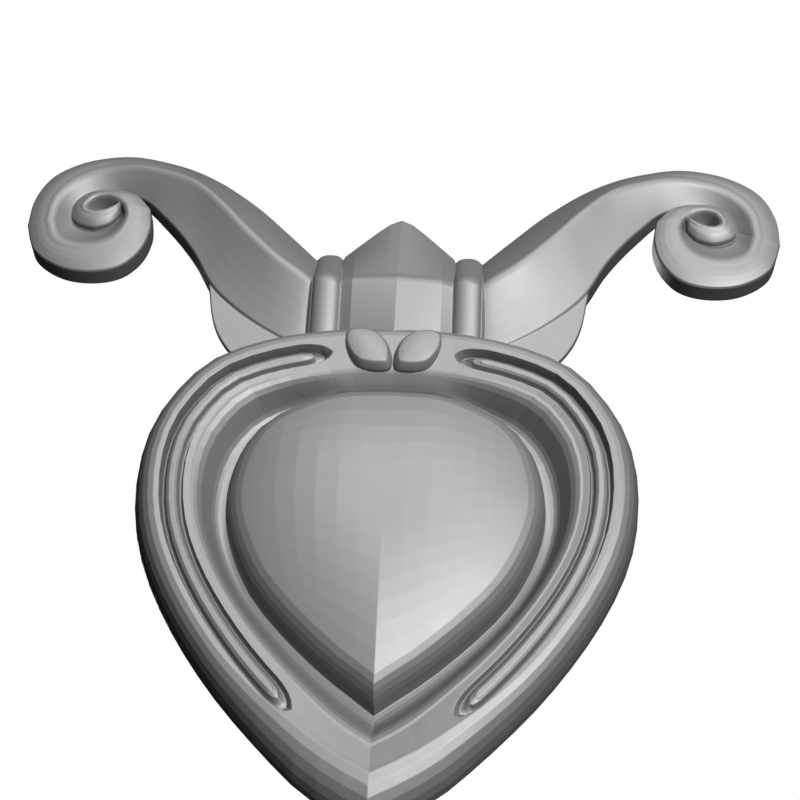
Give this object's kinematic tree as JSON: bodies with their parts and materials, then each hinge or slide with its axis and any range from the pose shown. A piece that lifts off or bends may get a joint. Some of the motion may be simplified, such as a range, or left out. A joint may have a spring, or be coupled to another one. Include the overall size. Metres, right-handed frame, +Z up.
{
  "type": "carved furniture onlay",
  "caption": "Carved wall or furniture onlay: a pointed heart-shaped boss in a moulded frame under a ribbed crown, with an arm to each side that rises and curls into a scroll.",
  "frame": {"origin": "on the flat back, on the ornament's middle line, level with the widest part of the boss", "axes": "+Y out of the flat back towards the wall or panel it is fixed to, so the carving faces -Y; +Z up along the middle line; +X to the viewer's right"},
  "size_m": [0.1808, 0.0144, 0.1713],
  "materials": {
    "primed_wood": "satin grey primer over close-grained carved wood"
  },
  "bodies": {
    "root": {"carved_onlay": "primed_wood"}
  },
  "joints": []
}
